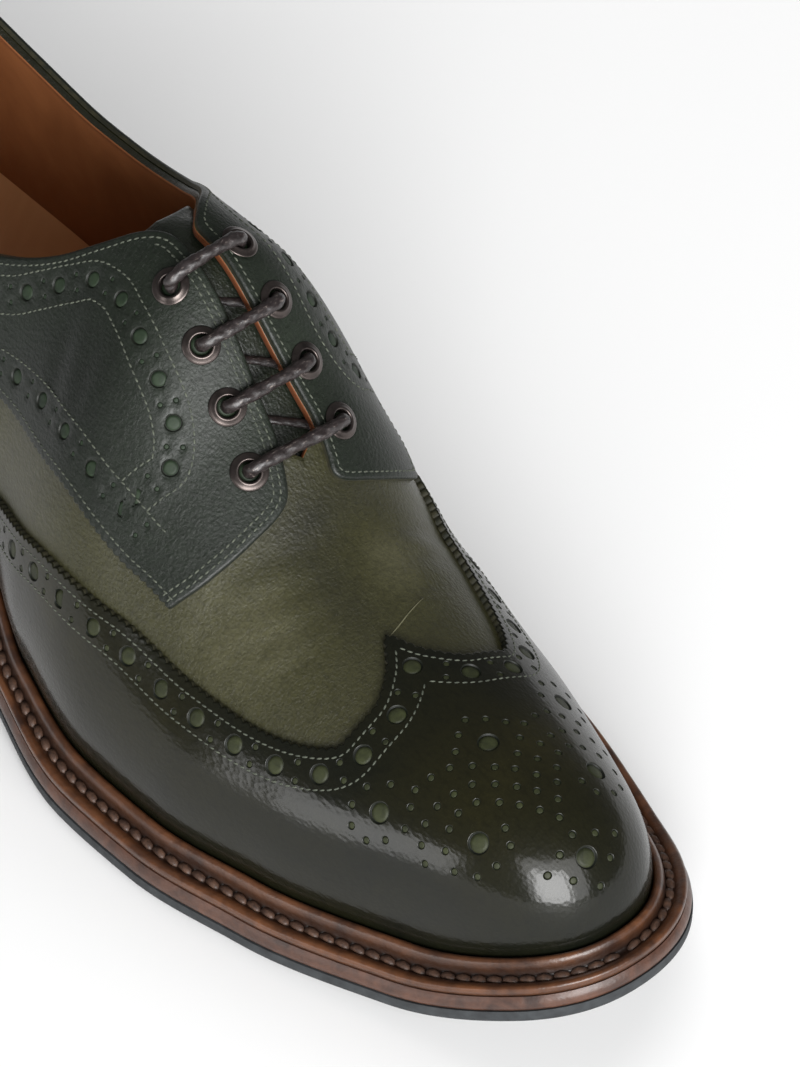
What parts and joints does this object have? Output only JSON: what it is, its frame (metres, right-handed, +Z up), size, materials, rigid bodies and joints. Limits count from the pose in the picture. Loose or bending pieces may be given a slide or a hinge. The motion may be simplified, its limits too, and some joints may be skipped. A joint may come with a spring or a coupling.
{
  "type": "brogue shoe",
  "caption": "Right shoe of an open-laced wing-tip brogue: a hollow leather upper on a storm-welted sole with a stacked heel, laced straight across.",
  "frame": {"origin": "on the ground, under the middle of the shoe", "axes": "+X from heel to toe, +Y to the inner side of the foot, +Z up"},
  "size_m": [0.3112, 0.1066, 0.1124],
  "materials": {
    "sole_rubber": "matt",
    "sole_edge": "semi-gloss",
    "welt": "satin",
    "insole": "matt",
    "upper": "semi-gloss",
    "tongue": "satin",
    "wing": "gloss",
    "quarters": "semi-gloss",
    "eyelets": "satin",
    "laces": "waxed"
  },
  "bodies": {
    "root": {"outsole": "sole_rubber", "midsole": "sole_edge", "welt": "welt", "heel_stack": "sole_edge", "heel_top_lift": "sole_rubber", "insole": "insole", "upper": "upper", "tongue": "tongue", "wing_cap": "wing", "quarter_lateral": "quarters", "quarter_medial": "quarters", "eyelet_lateral_1": "eyelets", "eyelet_medial_1": "eyelets", "lace_bar_1": "laces", "eyelet_lateral_2": "eyelets", "eyelet_medial_2": "eyelets", "lace_bar_2": "laces", "eyelet_lateral_3": "eyelets", "eyelet_medial_3": "eyelets", "lace_bar_3": "laces", "eyelet_lateral_4": "eyelets", "eyelet_medial_4": "eyelets", "lace_bar_4": "laces"}
  },
  "joints": []
}
